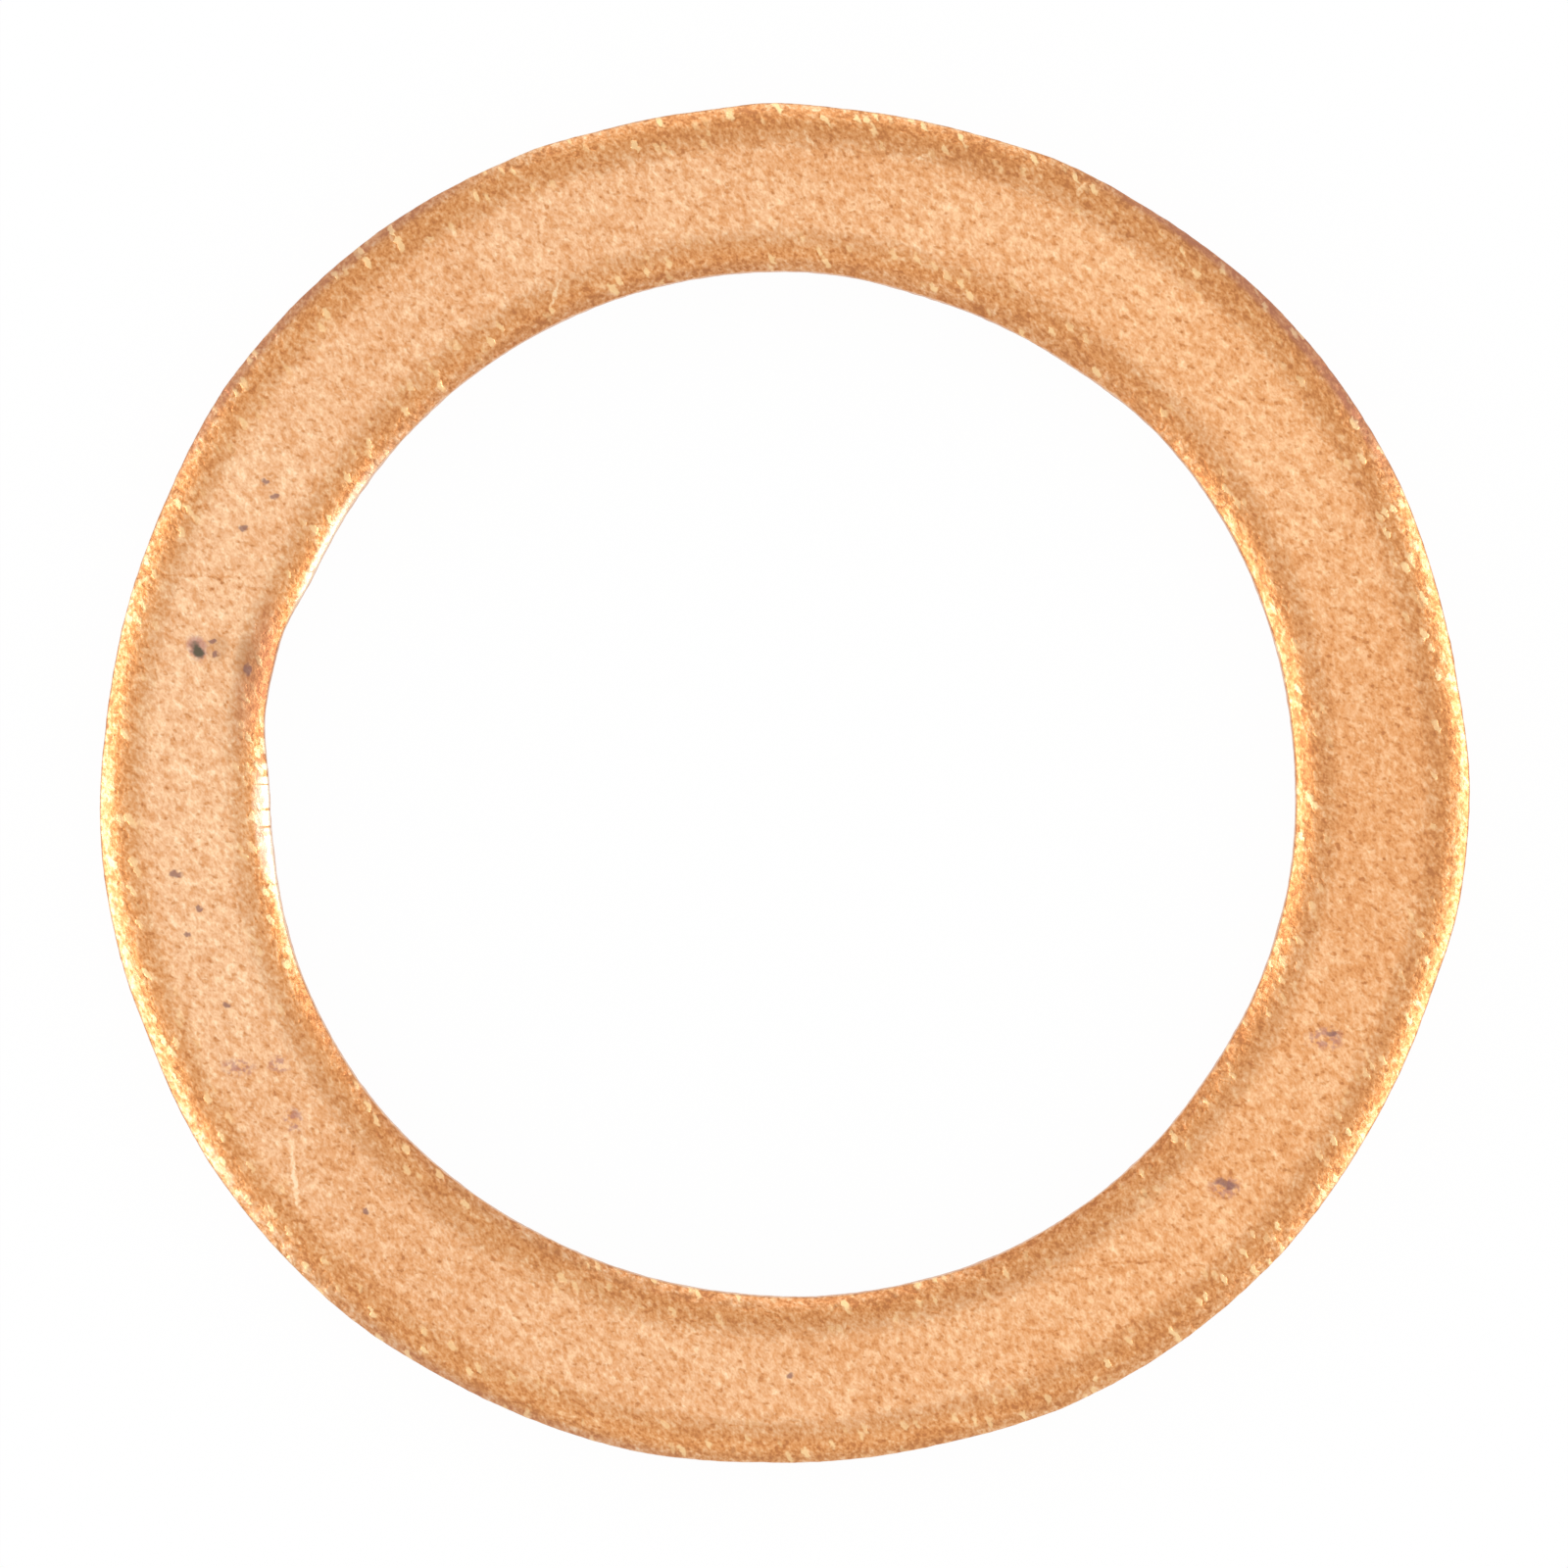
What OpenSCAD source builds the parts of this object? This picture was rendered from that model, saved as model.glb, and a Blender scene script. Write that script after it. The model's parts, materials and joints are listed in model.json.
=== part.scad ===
// Copper crush washer: a flat sealing ring stamped in one blow from soft copper sheet.
// The origin is at the centre of the bore, on the lower face. +Z is the bore axis.
// The upper side is the one that the die pulled down: both its edges are rolled over wide.
// Below each roll the wall is a straight burnished land, and under that it draws in a
// little where the metal tore.

/* [Ring] */
// Diameter of the bore, a free fit over an M12 thread
bore_d = 12.05; // [11:0.05:13]
// Outer diameter
outer_d = 16; // [15:0.1:20]
// Thickness between the two sealing faces
thickness = 1.5; // [1:0.1:2.5]

/* [Die roll on the upper edges] */
// How far the roll reaches over the face from either wall
roll_reach = 0.6; // [0.4:0.05:0.8]
// How far the roll drops below the upper face at the wall
roll_drop = 0.25; // [0.1:0.05:0.4]

/* [Torn lower edges] */
// How far the wall has drawn in where it meets the lower face
tear_reach = 0.12; // [0.05:0.01:0.2]
// Height of the drawn-in stretch above the lower face
tear_rise = 0.4; // [0.2:0.05:0.5]

/* [Hidden] */
$fn = 180;

bore_r = bore_d / 2;
ring_w = (outer_d - bore_d) / 2;
// A narrow ring keeps a flat between its two rolls.
least_flat = 0.1;
roll_fit = min(roll_reach, (ring_w - least_flat) / 2);

// What an edge loses to an arc that leaves one of its faces smoothly and is cut off
// bluntly by the other. The edge is at the origin, and the smooth face runs off to its
// left with the metal below. The arc starts that far along it and drops that far.
module edge_loss(along, drop) {
    arc_r = (along * along + drop * drop) / (2 * drop);
    difference() {
        square([2 * along, 2 * drop], center = true);
        translate([-along, -arc_r])
            circle(r = arc_r);
    }
}

// Both edges on the outer wall: the roll leaves the upper face, and the tear the wall.
module wall_loss() {
    translate([0, thickness])
        edge_loss(roll_fit, roll_drop);
    rotate(-90)
        edge_loss(tear_rise, tear_reach);
}

// The ring's section, with the bore's wall on the left.
module ring_section() {
    difference() {
        square([ring_w, thickness]);
        translate([ring_w, 0])
            wall_loss();
        mirror([1, 0])
            wall_loss();
    }
}

module washer() {
    color([0.85, 0.53, 0.31])
        rotate_extrude()
            translate([bore_r, 0])
                ring_section();
}

washer();
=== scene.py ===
# %% [markdown]
# A crush washer is a flat ring of soft copper that is squeezed under a plug until it
# seals. This lesson dresses its CAD solid: it loads the solid as a fixed frame, models
# the same ring again with the dents and the grain that tumbling leaves on soft metal,
# and gives it a copper finish made of nodes. Everything stays in the CAD frame.

# %% Load the frame and read the sizes
import json
import math

import bmesh
import bpy
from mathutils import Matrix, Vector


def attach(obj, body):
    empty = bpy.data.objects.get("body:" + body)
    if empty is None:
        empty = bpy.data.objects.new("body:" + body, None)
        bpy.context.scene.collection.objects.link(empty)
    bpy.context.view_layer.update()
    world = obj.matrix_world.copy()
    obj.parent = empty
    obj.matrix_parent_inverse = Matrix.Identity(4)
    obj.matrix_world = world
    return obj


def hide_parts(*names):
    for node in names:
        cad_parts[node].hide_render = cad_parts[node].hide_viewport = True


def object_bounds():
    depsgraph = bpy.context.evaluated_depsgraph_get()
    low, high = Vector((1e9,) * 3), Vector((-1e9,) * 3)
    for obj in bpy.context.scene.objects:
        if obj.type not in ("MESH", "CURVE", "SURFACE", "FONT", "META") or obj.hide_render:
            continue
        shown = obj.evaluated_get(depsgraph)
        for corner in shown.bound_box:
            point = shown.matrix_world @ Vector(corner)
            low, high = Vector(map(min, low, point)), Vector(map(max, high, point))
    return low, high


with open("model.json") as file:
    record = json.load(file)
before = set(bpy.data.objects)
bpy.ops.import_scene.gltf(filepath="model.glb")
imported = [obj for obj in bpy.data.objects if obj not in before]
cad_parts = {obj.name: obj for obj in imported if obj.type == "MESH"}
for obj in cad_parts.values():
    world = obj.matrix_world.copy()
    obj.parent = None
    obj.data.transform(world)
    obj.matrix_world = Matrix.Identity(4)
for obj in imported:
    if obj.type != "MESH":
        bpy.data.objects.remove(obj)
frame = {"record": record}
cad_low, cad_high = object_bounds()

MM = 0.001
bore = next(m for m in frame["record"]["mounts"] if m["kind"] == "bore")
bore_r = bore["dims"]["r_mm"]
land_h = bore["dims"]["length_mm"]
land_z = bore["pos_m"][2] / MM
rim_r = max(cad_high.x, cad_high.y) / MM
thick = (cad_high.z - cad_low.z) / MM
ring_w = rim_r - bore_r
mid_r = (rim_r + bore_r) / 2
roll_drop = thick - (land_z + land_h / 2)
tear_rise = land_z - land_h / 2
print(f"ring {2 * bore_r:.2f} to {2 * rim_r:.2f} mm across, {thick:.2f} mm thick")
print(f"roll drops {roll_drop:.2f} mm, torn stretch is {tear_rise:.2f} mm high")

# %% [markdown]
# The photograph looks straight down at the ring, from so far off that the bore's wall
# hardly shows. A long lens does that and still keeps a real distance. The picture is
# square, so the ring's share of its width sets the lens.

# %% Camera
PHOTO_SIDE = 1600
PHOTO_RIM_R = 696.5
PHOTO_CENTRE = (798.9, 800.9)
CAMERA_ABOVE_FACE = 400.0
SENSOR = 36.0

widest = rim_r / (CAMERA_ABOVE_FACE + roll_drop)
half_view = widest * (PHOTO_SIDE / 2) / PHOTO_RIM_R
px_per_mm = PHOTO_SIDE / 2 / half_view / CAMERA_ABOVE_FACE


def on_face(px, py):
    """Where a pixel of the photograph lies on the upper face, in millimetres."""
    return ((px - PHOTO_CENTRE[0]) / px_per_mm, (PHOTO_CENTRE[1] - py) / px_per_mm)


camera_x, camera_y = on_face(PHOTO_SIDE / 2, PHOTO_SIDE / 2)
bpy.ops.object.select_all(action="DESELECT")
bpy.ops.object.camera_add(
    location=(camera_x * MM, camera_y * MM, (thick + CAMERA_ABOVE_FACE) * MM),
    rotation=(0, 0, 0),
)
camera = bpy.context.active_object
camera.name = "camera_above"
camera.data.sensor_width = SENSOR
camera.data.lens = SENSOR / 2 / half_view
camera.data.clip_start = 10 * MM
camera.data.clip_end = 2.0
bpy.context.scene.camera = camera
print(f"lens {camera.data.lens:.1f} mm, {px_per_mm:.2f} photo pixels to a millimetre")

# %% [markdown]
# Shader maths reads best as plain expressions. A Wire stands for a socket, and adding
# or multiplying wires adds the Math nodes. Every other node comes from Bench.node,
# which takes its type, its settings and what goes into its sockets.

# %% A bench for wiring nodes


class Wire:
    """A socket on a bench, which takes part in expressions."""

    def __init__(self, bench, socket):
        self.bench = bench
        self.socket = socket

    def math(self, operation, first, second=0.0):
        return self.bench.node("ShaderNodeMath", {"operation": operation}, {0: first, 1: second})

    def __add__(self, other):
        return self.math("ADD", self, other)

    def __radd__(self, other):
        return self.math("ADD", other, self)

    def __sub__(self, other):
        return self.math("SUBTRACT", self, other)

    def __rsub__(self, other):
        return self.math("SUBTRACT", other, self)

    def __mul__(self, other):
        return self.math("MULTIPLY", self, other)

    def __rmul__(self, other):
        return self.math("MULTIPLY", other, self)

    def __abs__(self):
        return self.math("ABSOLUTE", self)

    def at_least(self, other):
        return self.math("MAXIMUM", self, other)


class Bench:
    """A node tree, emptied, that nodes are added to one by one."""

    def __init__(self, tree):
        self.tree = tree
        tree.nodes.clear()

    def node(self, kind, settings=None, inputs=None, output=0):
        made = self.tree.nodes.new(kind)
        for name, value in (settings or {}).items():
            if name == "stops":
                self.set_stops(made.color_ramp.elements, value)
            else:
                setattr(made, name, value)
        for name, value in (inputs or {}).items():
            if isinstance(value, Wire):
                self.tree.links.new(value.socket, made.inputs[name])
            else:
                made.inputs[name].default_value = value
        return Wire(self, made.outputs[output] if len(made.outputs) else None)

    @staticmethod
    def set_stops(elements, stops):
        """Gives a colour ramp these stops, each a place and a colour."""
        while len(elements) < len(stops):
            elements.new(1.0)
        for element, (place, colour) in zip(elements, stops):
            element.position = place
            element.color = (*colour, 1)

    def ramp(self, value, start, end):
        """0 up to start, 1 from end on, and a smooth step between; end may be the lower."""
        return self.node(
            "ShaderNodeMapRange",
            {"interpolation_type": "SMOOTHSTEP"},
            {"Value": value, "From Min": start, "From Max": end},
        )

    def noise(self, vector, scale, detail=2.0, roughness=0.5, output=0):
        return self.node(
            "ShaderNodeTexNoise",
            {},
            {"Vector": vector, "Scale": scale, "Detail": detail, "Roughness": roughness},
            output,
        )

    def vector(self, operation, inputs, output=0):
        return self.node("ShaderNodeVectorMath", {"operation": operation}, inputs, output)

    def mix(self, share, first, second):
        """Between two colours, by a share from 0 to 1."""
        return self.node(
            "ShaderNodeMix",
            {"data_type": "RGBA"},
            {"Factor": share, 6: first, 7: second},
            output=2,
        )


def weighted(parts):
    """The sum of some traits of a surface, each times its own weight."""
    (trait, weight), *others = parts
    total = trait * weight
    for trait, weight in others:
        total = total + trait * weight
    return total


print("bench ready")

# %% [markdown]
# A small metal part is shot on white under soft boxes. One hangs over the camera and
# brightens the flat face. Low ones at the right, the left and the far side put the
# highlights on the rolled edges, and a weak one fills in from the near side. Between
# them the room is dimmer, and that shows as a darker band on the rolls. Brightness is
# given against white paper, so a lamp's power follows from its area.

# %% Floor, room and soft boxes
FLOOR_SIDE = 1.2
FLOOR_GAP = 0.01
PAPER = (0.95, 0.95, 0.95, 1)
WHITE = (1, 1, 1, 1)
WHITE_SHARE = 0.97
ROOM_LEVEL = 0.89
# Name, azimuth and elevation in degrees, distance, width and height in metres, brightness
SOFT_BOXES = (
    ("overhead_box", 90, 90, 0.60, 0.30, 0.30, 0.72),
    ("right_box", -5, 7, 0.35, 0.40, 0.08, 4.6),
    ("left_box", 186, 9, 0.35, 0.40, 0.12, 3.3),
    ("far_box", 90, 6, 0.35, 0.22, 0.07, 1.7),
    ("near_box", 270, 32, 0.40, 0.30, 0.12, 0.45),
)

bpy.ops.object.select_all(action="DESELECT")
bpy.ops.mesh.primitive_plane_add(size=FLOOR_SIDE, location=(0, 0, cad_low.z - FLOOR_GAP * MM))
floor = bpy.context.active_object
floor.name = "white_table"

floor_finish = bpy.data.materials.new("white_table_top")
floor_finish.use_nodes = True
bench = Bench(floor_finish.node_tree)
ray = bench.tree.nodes.new("ShaderNodeLightPath")
seen = Wire(bench, ray.outputs["Is Camera Ray"])
seen = seen.at_least(Wire(bench, ray.outputs["Is Glossy Ray"]))
seen = seen.at_least(Wire(bench, ray.outputs["Is Transmission Ray"]))
paper = bench.node("ShaderNodeBsdfDiffuse", {}, {"Color": PAPER})
glow = bench.node("ShaderNodeEmission", {}, {"Color": WHITE, "Strength": 1.0})
lit = bench.node("ShaderNodeMixShader", {}, {0: seen * WHITE_SHARE, 1: paper, 2: glow})
bench.node("ShaderNodeOutputMaterial", {}, {"Surface": lit})
floor.data.materials.append(floor_finish)

room = bpy.context.scene.world or bpy.data.worlds.new("room")
bpy.context.scene.world = room
room.use_nodes = True
bench = Bench(room.node_tree)
walls = bench.node("ShaderNodeBackground", {}, {"Color": WHITE, "Strength": ROOM_LEVEL})
bench.node("ShaderNodeOutputWorld", {}, {"Surface": walls})


def soft_box(name, azimuth, elevation, distance, width, height, brightness):
    """A soft box that faces the ring; azimuth is counterclockwise from +X."""
    turn, rise = math.radians(azimuth), math.radians(elevation)
    place = (
        distance * math.cos(rise) * math.cos(turn),
        distance * math.cos(rise) * math.sin(turn),
        distance * math.sin(rise),
    )
    facing = (math.radians(90) - rise, 0, turn + math.radians(90))
    bpy.ops.object.light_add(type="AREA", location=place, rotation=facing)
    lamp = bpy.context.active_object
    lamp.name = name
    lamp.data.shape = "RECTANGLE"
    lamp.data.size = width
    lamp.data.size_y = height
    lamp.data.energy = brightness * math.pi * width * height
    print(f"{name}: {lamp.data.energy:.3f} W")


for box in SOFT_BOXES:
    soft_box(*box)
bpy.context.scene.view_settings.view_transform = "Standard"

# %% [markdown]
# The ring is a section turned about the bore's axis. On the real one a punch pulled
# the upper edges down into wide rolls, left a straight land below them, and tore the
# rest away. It could be copied from the CAD solid, but that mesh is long thin triangles
# that can't be dented. So the section is drawn again as a plane that starts too large:
# its corners are rounded with the large radius of each arc, and the spare metal is then
# cut off, which leaves the blunt corner where a roll runs into its land. A unit here is
# a millimetre, and the finished ring is shrunk to metres at the end.

# %% Section of the ring
ROLL_REACH = 0.6
TEAR_REACH = 0.12
ROLL_STEPS = 33
CORNER_CUT = 0.02
CORNER_STEPS = 2
TEAR_STEPS = 16
FACE_CUTS = 13
LAND_CUTS = 6
UNDERSIDE_CUTS = 7
HAIR = 0.0005


def arc_radius(along, drop):
    """Radius of the arc that leaves a face this far along and drops this far."""
    return (along**2 + drop**2) / (2 * drop)


roll_r = arc_radius(ROLL_REACH, roll_drop)
tear_r = arc_radius(tear_rise, TEAR_REACH)
spare_w = roll_r - ROLL_REACH
spare_h = tear_r - tear_rise

bpy.ops.object.select_all(action="DESELECT")
bpy.ops.mesh.primitive_plane_add(
    size=1, location=(mid_r, 0, (thick - spare_h) / 2), rotation=(math.radians(90), 0, 0)
)
ring = bpy.context.active_object
ring.name = "copper_ring"
ring.scale = (ring_w + 2 * spare_w, thick + spare_h, 1)
bpy.ops.object.transform_apply(location=True, rotation=True, scale=True)
bpy.ops.object.mode_set(mode="EDIT")


def select_where(test):
    """Selects the ring's points that pass a test, with the edges between them."""
    bpy.ops.mesh.select_all(action="DESELECT")
    shape = bmesh.from_edit_mesh(ring.data)
    for point in shape.verts:
        point.select_set(test(point.co))
    shape.select_flush(True)
    bmesh.update_edit_mesh(ring.data)


def round_corners(test, setback, steps):
    """Rounds the corners of the section that pass a test, from this far off each one."""
    select_where(test)
    bpy.ops.mesh.bevel(
        offset_type="OFFSET", offset=setback, segments=steps, profile=0.5, affect="VERTICES"
    )


def cut_off(place, outwards):
    """Cuts the section through a place and removes what lies outwards of it."""
    bpy.ops.mesh.select_all(action="SELECT")
    bpy.ops.mesh.bisect(plane_co=place, plane_no=outwards, clear_outer=True)


round_corners(lambda p: p.z > thick - HAIR, roll_r, ROLL_STEPS)
cut_off((rim_r, 0, 0), (1, 0, 0))
cut_off((bore_r, 0, 0), (-1, 0, 0))
round_corners(lambda p: p.z < HAIR - spare_h, tear_r, TEAR_STEPS)
cut_off((0, 0, 0), (0, 0, -1))
round_corners(lambda p: abs(p.z - thick + roll_drop) < HAIR, CORNER_CUT, CORNER_STEPS)

bpy.ops.mesh.select_all(action="SELECT")
bpy.ops.mesh.delete(type="ONLY_FACE")
for cuts, test in (
    (FACE_CUTS, lambda p: p.z > thick - HAIR),
    (UNDERSIDE_CUTS, lambda p: p.z < HAIR),
    (LAND_CUTS, lambda p: p.x > rim_r - HAIR),
    (LAND_CUTS, lambda p: p.x < bore_r + HAIR),
):
    select_where(test)
    bpy.ops.mesh.subdivide(number_cuts=cuts)
print(f"section of {len(bmesh.from_edit_mesh(ring.data).verts)} points")

# %% [markdown]
# The section is turned once round the bore's axis. The Spin tool would do it too, but it
# slows down badly at a thousand steps, so a Screw modifier with no pitch does the turn
# and is applied. The last step falls on the first, so the doubles are merged, and the
# normals are then made to point outwards.

# %% Turn the section round the bore
TURN_STEPS = 1080

bpy.ops.object.mode_set(mode="OBJECT")
turn = ring.modifiers.new("turn", "SCREW")
turn.axis = "Z"
turn.angle = math.radians(360)
turn.steps = TURN_STEPS
turn.render_steps = TURN_STEPS
turn.use_merge_vertices = True
turn.merge_threshold = HAIR
bpy.ops.object.modifier_apply(modifier="turn")
bpy.ops.object.mode_set(mode="EDIT")
bpy.ops.mesh.select_all(action="SELECT")
bpy.ops.mesh.remove_doubles(threshold=HAIR)
bpy.ops.mesh.normals_make_consistent(inside=False)
shape = bmesh.from_edit_mesh(ring.data)
open_edges = sum(1 for edge in shape.edges if len(edge.link_faces) != 2)
print(f"ring of {len(shape.faces)} faces, {open_edges} open edges")

# %% [markdown]
# Soft copper that tumbles in a drum with thousands of others is never quite round. A
# lattice could bend it, but each knock is local, so a short arc of a wall is taken and
# moved with proportional editing, which lets the push die away across the ring.

# %% Knock the walls out of round
# Angle in degrees, push along the radius in millimetres, half of the arc in degrees
RIM_KNOCKS = (
    (36, 0.05, 8), (79, -0.045, 5), (101, -0.04, 4), (135, 0.03, 8), (166, -0.04, 8),
    (188, 0.025, 6), (222, 0.05, 8), (276, -0.055, 7), (312, 0.02, 8), (334, -0.02, 7),
    (355, 0.05, 5),
)
BORE_KNOCKS = (
    (8, -0.02, 8), (65, -0.065, 7), (168, 0.11, 4), (209, 0.045, 7),
    (254, -0.035, 8), (305, 0.04, 8), (343, 0.025, 7),
)
KNOCK_DEPTH = ring_w / 10
REACH_PER_DEGREE = ring_w / 8


def knock(wall_r, angle, push, half_arc):
    """Moves a short arc of a wall along its radius, and the metal near it less and less."""
    turn = math.radians(angle)
    out = (math.cos(turn), math.sin(turn))
    nearest = math.cos(math.radians(half_arc))

    def on_arc(p):
        r = math.hypot(p.x, p.y)
        return abs(r - wall_r) < KNOCK_DEPTH and p.x * out[0] + p.y * out[1] > r * nearest

    select_where(on_arc)
    bpy.ops.transform.translate(
        value=(out[0] * push, out[1] * push, 0),
        use_proportional_edit=True,
        proportional_edit_falloff="SMOOTH",
        proportional_size=REACH_PER_DEGREE * half_arc,
    )


for wall_r, knocks in ((rim_r, RIM_KNOCKS), (bore_r, BORE_KNOCKS)):
    for angle, push, half_arc in knocks:
        knock(wall_r, angle, push, half_arc)
bpy.ops.object.mode_set(mode="OBJECT")
print(f"{len(RIM_KNOCKS) + len(BORE_KNOCKS)} knocks on the walls")

# %% [markdown]
# Tumbling leaves the whole skin faintly uneven. Displace modifiers with cloud textures
# raise and lower it along its normals, a broad swell first and a finer one over it,
# and are applied, so the unevenness is in the mesh and not only in the finish.

# %% Tumbled skin
# Name, size of the clouds and height, in millimetres
TUMBLING = (
    ("swell", 0.45, 0.010),
    ("pecks", 0.13, 0.012),
)
for name, size, height in TUMBLING:
    cloud = bpy.data.textures.new(name, "CLOUDS")
    cloud.noise_scale = size
    cloud.noise_depth = 1
    layer = ring.modifiers.new(name, "DISPLACE")
    layer.texture = cloud
    layer.texture_coords = "LOCAL"
    layer.strength = height
    layer.mid_level = 0.5
    bpy.ops.object.modifier_apply(modifier=name)

bpy.ops.object.mode_set(mode="EDIT")
bpy.ops.mesh.select_all(action="SELECT")
bpy.ops.transform.resize(value=(MM, MM, MM), center_override=(0, 0, 0))
bpy.ops.object.mode_set(mode="OBJECT")
bpy.ops.object.shade_smooth()
print("skin tumbled,", len(ring.data.polygons), "faces")

# %% [markdown]
# The finish is bare copper, tumbled to a fine matte grain. An unwrapped picture could
# carry it, but nodes on Object coordinates need no seams and hold at any size. All that
# follows asks where a spot lies: how high, how far from the bore's axis, and how far off
# the middle of the ring's width. Places are in millimetres, as in the section.

# %% Where a spot lies on the ring
RAGGED_SCALE = 14.0
RAGGED_REACH = 0.045
TOP_STARTS = (1.0, 1.15)
WALL_STARTS = (0.80, 0.87)
RIM_BAND = (0.20, 0.04)
EDGE_BAND = (0.11, 0.03)
SIDE_BLEND = 0.1

copper = bpy.data.materials.new("tumbled_copper")
copper.use_nodes = True
bench = Bench(copper.node_tree)
place = bench.node("ShaderNodeTexCoord", output="Object")
spot = bench.vector("SCALE", {0: place, "Scale": 1 / MM})
rightwards = bench.node("ShaderNodeSeparateXYZ", {}, {0: spot}, output="X")
upwards = bench.node("ShaderNodeSeparateXYZ", {}, {0: spot}, output="Y")
height = bench.node("ShaderNodeSeparateXYZ", {}, {0: spot}, output="Z")
level_spot = bench.vector("MULTIPLY", {0: spot, 1: (1, 1, 0)})
radius = bench.vector("LENGTH", {0: level_spot}, output=1)
heading = bench.vector("NORMALIZE", {0: level_spot})
around = bench.vector("SCALE", {0: heading, "Scale": mid_r})

off_middle = abs(radius - mid_r)
half_w = ring_w / 2
on_top = bench.ramp(height, *TOP_STARTS)
on_wall = bench.ramp(off_middle, *WALL_STARTS) * (1 - on_top)
on_rim = bench.ramp(off_middle, half_w - RIM_BAND[0], half_w - RIM_BAND[1])
on_edge = bench.ramp(off_middle, half_w - EDGE_BAND[0], half_w - EDGE_BAND[1])
bore_side = bench.ramp(radius, mid_r + SIDE_BLEND, mid_r - SIDE_BLEND)

shaken = bench.vector("ADD", {0: level_spot, 1: (-RAGGED_REACH, -RAGGED_REACH, 0)})
shake = bench.noise(spot, RAGGED_SCALE, 1.0, output="Color")
ragged = bench.vector(
    "MULTIPLY_ADD", {0: shake, 1: (2 * RAGGED_REACH, 2 * RAGGED_REACH, 0), 2: shaken}
)
print(f"the ring's width ends {half_w:.3f} mm off its middle")

# %% [markdown]
# Up close the skin has layers: a fine grain drawn out one way, flecks where the rolls
# were struck, painted gold as glints, dark pecks and streaks, broad patches, and notches
# on the rims, painted darker as their shade. On the walls there are scores from the punch
# instead. Each layer is a noise of its own, because one noise at all sizes looks like
# cloud. Scales are waves to a millimetre.

# %% Grain, flecks and patches


def drawn_out(angle, stretch, where=spot):
    """A spot in a space where noise comes out stretched along an angle, in degrees."""
    return bench.node(
        "ShaderNodeMapping",
        {"vector_type": "TEXTURE"},
        {"Vector": where, "Rotation": (0, 0, math.radians(angle)), "Scale": (stretch, 1, 1)},
    )


grain = bench.noise(drawn_out(145, 1.8), 10.5, 3.0, 0.8)
cross_grain = bench.noise(drawn_out(110, 1.5), 21.0, 1.0, 0.7)
patches = bench.noise(spot, 1.6, 2.0, 0.6)
streaks = bench.ramp(bench.noise(drawn_out(140, 3.2), 19.0, 0.0), 0.60, 0.76)
pecks = bench.ramp(bench.noise(drawn_out(165, 1.4), 14.0, 1.0), 0.60, 0.74)
cells = bench.node(
    "ShaderNodeTexVoronoi",
    {},
    {"Vector": drawn_out(120, 2.2, ragged), "Scale": 9.5},
    output="Distance",
)
chance = Wire(bench, cells.socket.node.outputs["Color"])
# flecks where the rolls were struck, with a little relief; their paler gold colour is a painted
# glint
struck_flecks_and_glints = bench.ramp(cells, 0.42, 0.22) * bench.ramp(chance, 0.50, 0.66) * on_top
on_roll = bench.ramp(off_middle - bore_side * 0.07 + (patches - 0.5) * 0.2, 0.33, 0.79)
# dents on the rims, pressed in by the bump and painted darker as their shade
shaded_notches = bench.ramp(bench.noise(spot, 9.0, 0.0), 0.42, 0.70) * on_rim
scores = bench.noise(around, 12.0, 2.0, 0.6)
torn = bench.ramp(height, tear_rise + 0.12, tear_rise - 0.05) * on_wall
print("grain has", len(bench.tree.nodes), "nodes so far")

# %% [markdown]
# The ring has a history: a black pit of oxide with a purple fringe, brown specks, purple
# bloom, and scratches from its neighbours in the drum. The other marks are painted light:
# a painted glint on the bore's edge, painted shade on the edges that face away from the
# lamps, on nicks across the rim, on one roll and in broad patches. They could be painted
# by hand on a texture. Here each mark is an ellipse, placed by its pixel in the
# photograph and made ragged by a little noise, so one helper makes them all.

# %% Marks on the upper face
# Pixel across and down, length and width in pixels, and angle in degrees where it is turned.
# A patch of painted edge shade also has a strength.
PIT = ((201.5, 663.5, 18, 11, 123),)
PIT_FRINGE = ((201, 661, 28, 20, 123),)
STAINS = ((222, 662, 26, 28), (251, 672, 26, 48))
# painted shade on the left roll of the bore
PAINTED_ROLL_SHADE = ((262, 687, 155, 38, 78),)
# painted shade on the edges that face away from the lamps, tinted purple
PAINTED_EDGE_SHADES = (
    ((1287, 313, 480, 160, 135), 1.0),
    ((311, 313, 480, 160, 45), 0.7),
    ((529, 1436, 420, 160, -23), 0.45),
)
# a painted glint on the bore's left edge
PAINTED_GLINT = ((270, 836, 22, 120, 4),)
NICKED = ((271, 825, 70, 190),)
# broad patches of painted shade on the flat face
PAINTED_SHADE_PATCHES = ((330, 1215, 420, 260, 135), (1410, 800, 420, 180, 90))
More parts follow.
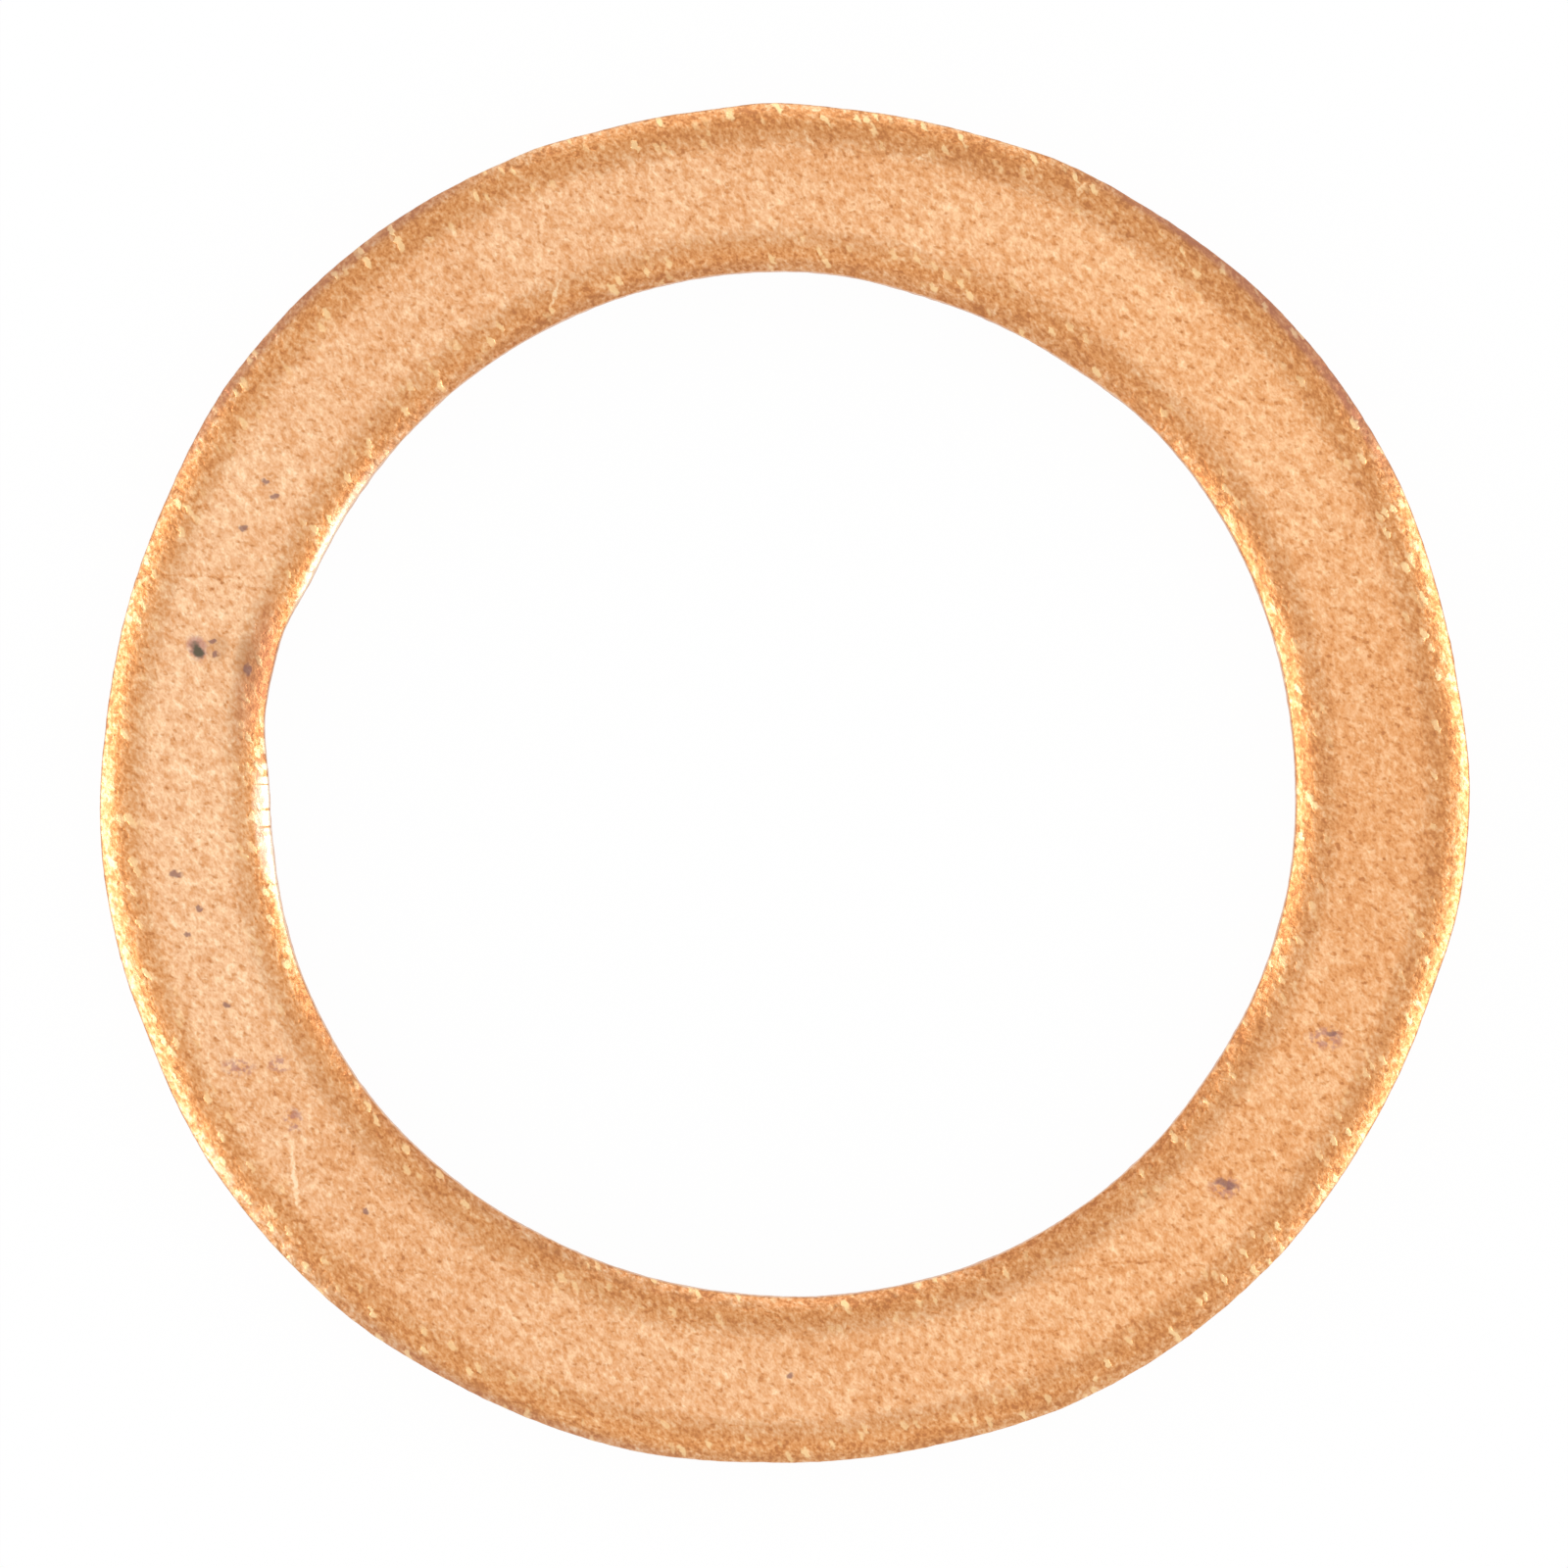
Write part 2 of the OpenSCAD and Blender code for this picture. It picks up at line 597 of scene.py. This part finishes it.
# painted shade on the far roll
PAINTED_FAR_ROLL_SHADE = ((840, 148, 460, 84, -4),)
SPECKS = (
    (217, 655, 8, 5), (220, 668, 8, 8), (253, 684, 8, 14), (271, 491, 9, 6),
    (280, 507, 10, 6), (248, 539, 10, 8), (179, 892, 15, 6), (203, 927, 9, 6),
    (191, 954, 7, 6), (231, 1026, 8, 7), (1251, 1208, 26, 9, -20),
    (1359, 1055, 12, 7, 20), (806, 1403, 8, 8), (373, 1235, 7, 7),
)
BLOOM = (
    (243, 1089, 34, 20), (285, 1086, 24, 18), (299, 1143, 20, 26),
    (1250, 1212, 34, 22), (1352, 1060, 40, 24),
)
LIGHT_SCRATCHES = (
    (301, 1204, 76, 6, 97), (566, 300, 36, 4, 70), (825, 141, 24, 4, 120),
    (941, 160, 20, 5, 20), (1103, 193, 16, 6, 60), (1016, 316, 16, 5, 80),
)
DARK_SCRATCHES = (
    (1145, 1289, 124, 3, 4), (1061, 1358, 44, 4, 0), (910, 210, 22, 4, 120),
    (205, 588, 100, 3, 178),
)


def mark(px, py, length, width, angle=0):
    """1 inside an ellipse on the upper face and 0 outside; the sizes are in photo pixels."""
    x, y = on_face(px, py)
    inside = bench.node(
        "ShaderNodeMapping",
        {"vector_type": "TEXTURE"},
        {
            "Vector": ragged,
            "Location": (x, y, 0),
            "Rotation": (0, 0, math.radians(angle)),
            "Scale": (length / 2 / px_per_mm, width / 2 / px_per_mm, 1),
        },
    )
    return bench.ramp(bench.vector("LENGTH", {0: inside}, output=1), 1.25, 0.55)


def marks(places):
    """All of a list of marks as one mask."""
    found = mark(*places[0])
    for place in places[1:]:
        found = found.at_least(mark(*place))
    return found * on_top


pit = marks(PIT)
pit_fringe = marks(PIT_FRINGE)
stains = marks(STAINS)
painted_roll_shade = marks(PAINTED_ROLL_SHADE)
painted_edge_shade = weighted([(marks([place]), strength) for place, strength in PAINTED_EDGE_SHADES]) * on_edge
painted_glint = marks(PAINTED_GLINT)
painted_shade_patches = marks(PAINTED_SHADE_PATCHES) * (1 - on_roll)
painted_far_roll_shade = marks(PAINTED_FAR_ROLL_SHADE) * (1 - on_rim)
specks = marks(SPECKS)
bloom = marks(BLOOM) * bench.ramp(bench.noise(spot, 17.0, 1.0), 0.40, 0.62)
light_scratches = marks(LIGHT_SCRATCHES)
dark_scratches = marks(DARK_SCRATCHES)
# score lines across the bore's rim, painted darker as their shade across the painted highlight
nick_lines = bench.ramp(abs(bench.noise(around, 3.0, 1.0) - 0.5), 0.035, 0.008)
shaded_nicks = nick_lines * on_rim * marks(NICKED)
print("with the marks,", len(bench.tree.nodes), "nodes")

# %% [markdown]
# The copper's colour runs from brown, where a film of oxide is left in the low places, to
# a pale peach where the drum has rubbed the metal bright. One value, the tone, says how
# far along that run a spot is: each trait moves it by its own weight, and a colour ramp
# turns it into copper. The flat face is rubbed most and the rolls least, and the rolls
# are painted darker still as painted shade. Light is painted into the tone too: painted
# highlights on the edges, painted shade where edges and patches face away from the lamps,
# and the right side painted darker and warmer than the left. Oxides and bare metal have
# colours that the run doesn't hold, so they are mixed in over it, and so are the painted
# highlights and glints.

# %% Tone and colour
COPPER_RUN = (
    (0.00, (0.520, 0.210, 0.080)),
    (0.20, (0.625, 0.268, 0.100)),
    (0.37, (0.720, 0.340, 0.138)),
    (0.53, (0.775, 0.410, 0.198)),
    (0.67, (0.830, 0.484, 0.262)),
    (0.83, (0.900, 0.568, 0.318)),
    (1.00, (0.940, 0.680, 0.430)),
)
FACE_TONE = 0.565
# tints for the rubbed face and the rolls' film; they also paint the left side lit and the right
# side shaded
RUBBED_AND_SIDE_LIGHT_TINT = (0.98, 1.0, 1.04, 1)
FILM_AND_SIDE_SHADE_TINT = (1.04, 1.0, 0.91, 1)
# painted glint colour of the flecks
GOLD = (1.0, 0.69, 0.36, 1)
# painted highlight colour, for the lit edge of the bore and the glint
HIGHLIGHT_PAINT = (0.97, 0.86, 0.70, 1)
SOOT = (0.09, 0.08, 0.045, 1)
PLUM = (0.36, 0.16, 0.17, 1)
BROWN = (0.44, 0.21, 0.09, 1)
UMBER = (0.24, 0.125, 0.115, 1)

# painted light: the flat face is painted paler towards the far left and the far upper right
far_left = bench.ramp(rightwards, -4.6, -6.6)
far_up = bench.ramp(rightwards * 0.34 + upwards * 0.94, 3.6, 6.0)
bore_left = bench.ramp(rightwards, -4.3, -5.4) * bench.ramp(upwards, -2.4, -0.8)
# painted highlight on the left edge of the bore, which faces the right lamp
painted_edge_highlight = on_edge * bore_left * bore_side * on_top
on_flat = 1 - on_roll
on_skin = 1 - on_wall * 0.5
tone = FACE_TONE + weighted([
    # painted light: darker towards the right, paler towards the far left and the far upper right
    (rightwards, -0.03 / rim_r),
    (far_left * on_flat, 0.10),
    (far_up * on_flat, 0.045),
    # painted shade in broad patches
    (painted_shade_patches, -0.06),
    # painted shade on the far roll
    (painted_far_roll_shade, -0.08),
    # painted shade: the rolls are painted darker, partly as less rubbed metal and partly as the
    # shade of the dimmer room they face
    (on_roll, -0.19),
    # painted shade on the bore's left roll
    (painted_roll_shade, -0.18),
    # painted highlight: the edges of the ring are painted paler, less so at the bore
    (on_edge, 0.19),
    (on_edge * bore_side, -0.10),
    # painted shade on the edges that face away from the lamps
    (painted_edge_shade, -0.32),
    (painted_edge_highlight, 0.40),
    # painted shade in the notches
    (shaded_notches, -0.15),
    ((grain - 0.5) * on_skin, 1.0),
    ((grain - 0.5) * on_skin * on_roll, 0.4),
    ((cross_grain - 0.5) * on_skin, 1.0),
    ((cross_grain - 0.5) * on_skin * on_roll, 0.3),
    (patches - 0.5, 0.22),
    ((patches - 0.5) * on_roll, 0.25),
    # painted glints on the flecks
    (struck_flecks_and_glints, 0.04),
    (streaks, -0.12),
    (pecks, -0.30),
    (light_scratches, 0.4),
    (dark_scratches, -0.2),
    # painted shade in the nicks
    (shaded_nicks, -0.6),
    (torn, -0.25),
    ((scores - 0.5) * on_wall, 0.9),
])
colour = bench.node("ShaderNodeValToRGB", {"stops": COPPER_RUN}, {0: tone})
# the rolls' film, and a painted shade that darkens and warms the right side
film_and_side_shade_share = (on_roll * (1 - on_rim)).at_least(bench.ramp(rightwards, -4.0, 7.0) * 0.6)
warmth = bench.mix(film_and_side_shade_share, RUBBED_AND_SIDE_LIGHT_TINT, FILM_AND_SIDE_SHADE_TINT)
colour = bench.vector("MULTIPLY", {0: colour, 1: warmth})
for share, tint in (
    # painted glints on the flecks
    (struck_flecks_and_glints * on_roll * 0.9, GOLD),
    # painted highlight on the bore's left edge
    (painted_edge_highlight * (1 - shaded_nicks) * 0.5, HIGHLIGHT_PAINT),
    # painted glint
    (painted_glint * (1 - shaded_nicks) * 0.5, HIGHLIGHT_PAINT),
    # painted shade on the bore's left roll and on the edges, tinted purple
    (painted_roll_shade * 0.18 + painted_edge_shade * 0.35, PLUM),
    (stains * 0.35, BROWN),
    (bloom * 0.55, PLUM),
    (specks * 0.75, UMBER),
    (pit_fringe * 0.60, PLUM),
    (pit * 0.93, SOOT),
):
    colour = bench.mix(share, colour, tint)
print("colour mixed")

# %% [markdown]
# The grain is relief as well as colour. Displacing the mesh this finely would take
# millions of faces, so a Bump node tilts the light instead, from heights of a few
# thousandths of a millimetre. The torn part of a wall is rougher than the rubbed face,
# and the oxide in the pit is hardly metal, so roughness and metalness follow along.

# %% Relief and gloss
MATTE = 0.42

skin_relief = weighted([
    (grain, 0.008),
    (cross_grain, 0.004),
    (struck_flecks_and_glints * on_roll, 0.006),
    (pecks, -0.003),
    (shaded_notches, -0.006),
])
relief = skin_relief * (1 - on_rim * 0.6) + weighted([
    (scores * on_wall, 0.010),
    (grain * torn, 0.03),
])
bump = bench.node("ShaderNodeBump", {}, {"Height": relief, "Distance": MM, "Strength": 1.0})
roughness = MATTE + weighted([
    (grain - 0.5, -0.15),
    (torn, 0.2),
    (on_rim, -0.06),
    (pit, 0.3),
])
metal = bench.node(
    "ShaderNodeBsdfPrincipled",
    {},
    {"Base Color": colour, "Metallic": 1 - pit * 0.8, "Roughness": roughness, "Normal": bump},
)
bench.node("ShaderNodeOutputMaterial", {}, {"Surface": metal})
ring.data.materials.clear()
ring.data.materials.append(copper)
print("copper has", len(bench.tree.nodes), "nodes")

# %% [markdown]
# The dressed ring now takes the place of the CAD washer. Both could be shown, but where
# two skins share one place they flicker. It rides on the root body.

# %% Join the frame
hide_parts("washer")
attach(ring, "root")
